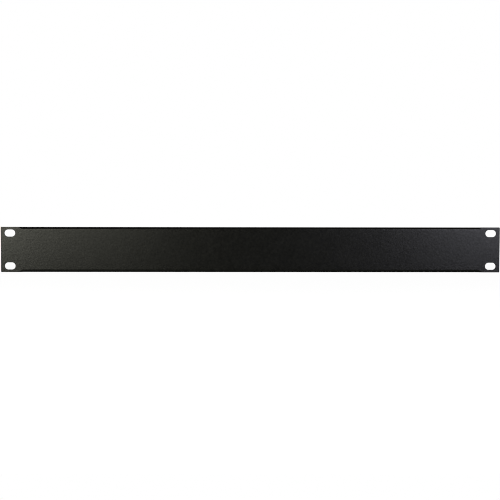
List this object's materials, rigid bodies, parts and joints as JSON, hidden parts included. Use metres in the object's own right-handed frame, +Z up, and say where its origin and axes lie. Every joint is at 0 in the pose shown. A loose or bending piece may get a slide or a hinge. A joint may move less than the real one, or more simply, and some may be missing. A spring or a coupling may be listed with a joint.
{
  "type": "rack blanking panel",
  "caption": "Flat sheet steel panel for one rack unit, with folded top and bottom flanges and a slotted ear at each end, finished in black powder coat.",
  "frame": {"origin": "middle of the slot pattern on the rear face of the ears, which seats on the rack's rails", "axes": "+X to the right as seen from the front, +Y into the rack, +Z up"},
  "size_m": [0.4826, 0.015, 0.0436],
  "materials": {
    "powder_coat": "fine-textured black powder coat, semi-matt"
  },
  "bodies": {
    "root": {"panel": "powder_coat"}
  },
  "joints": []
}
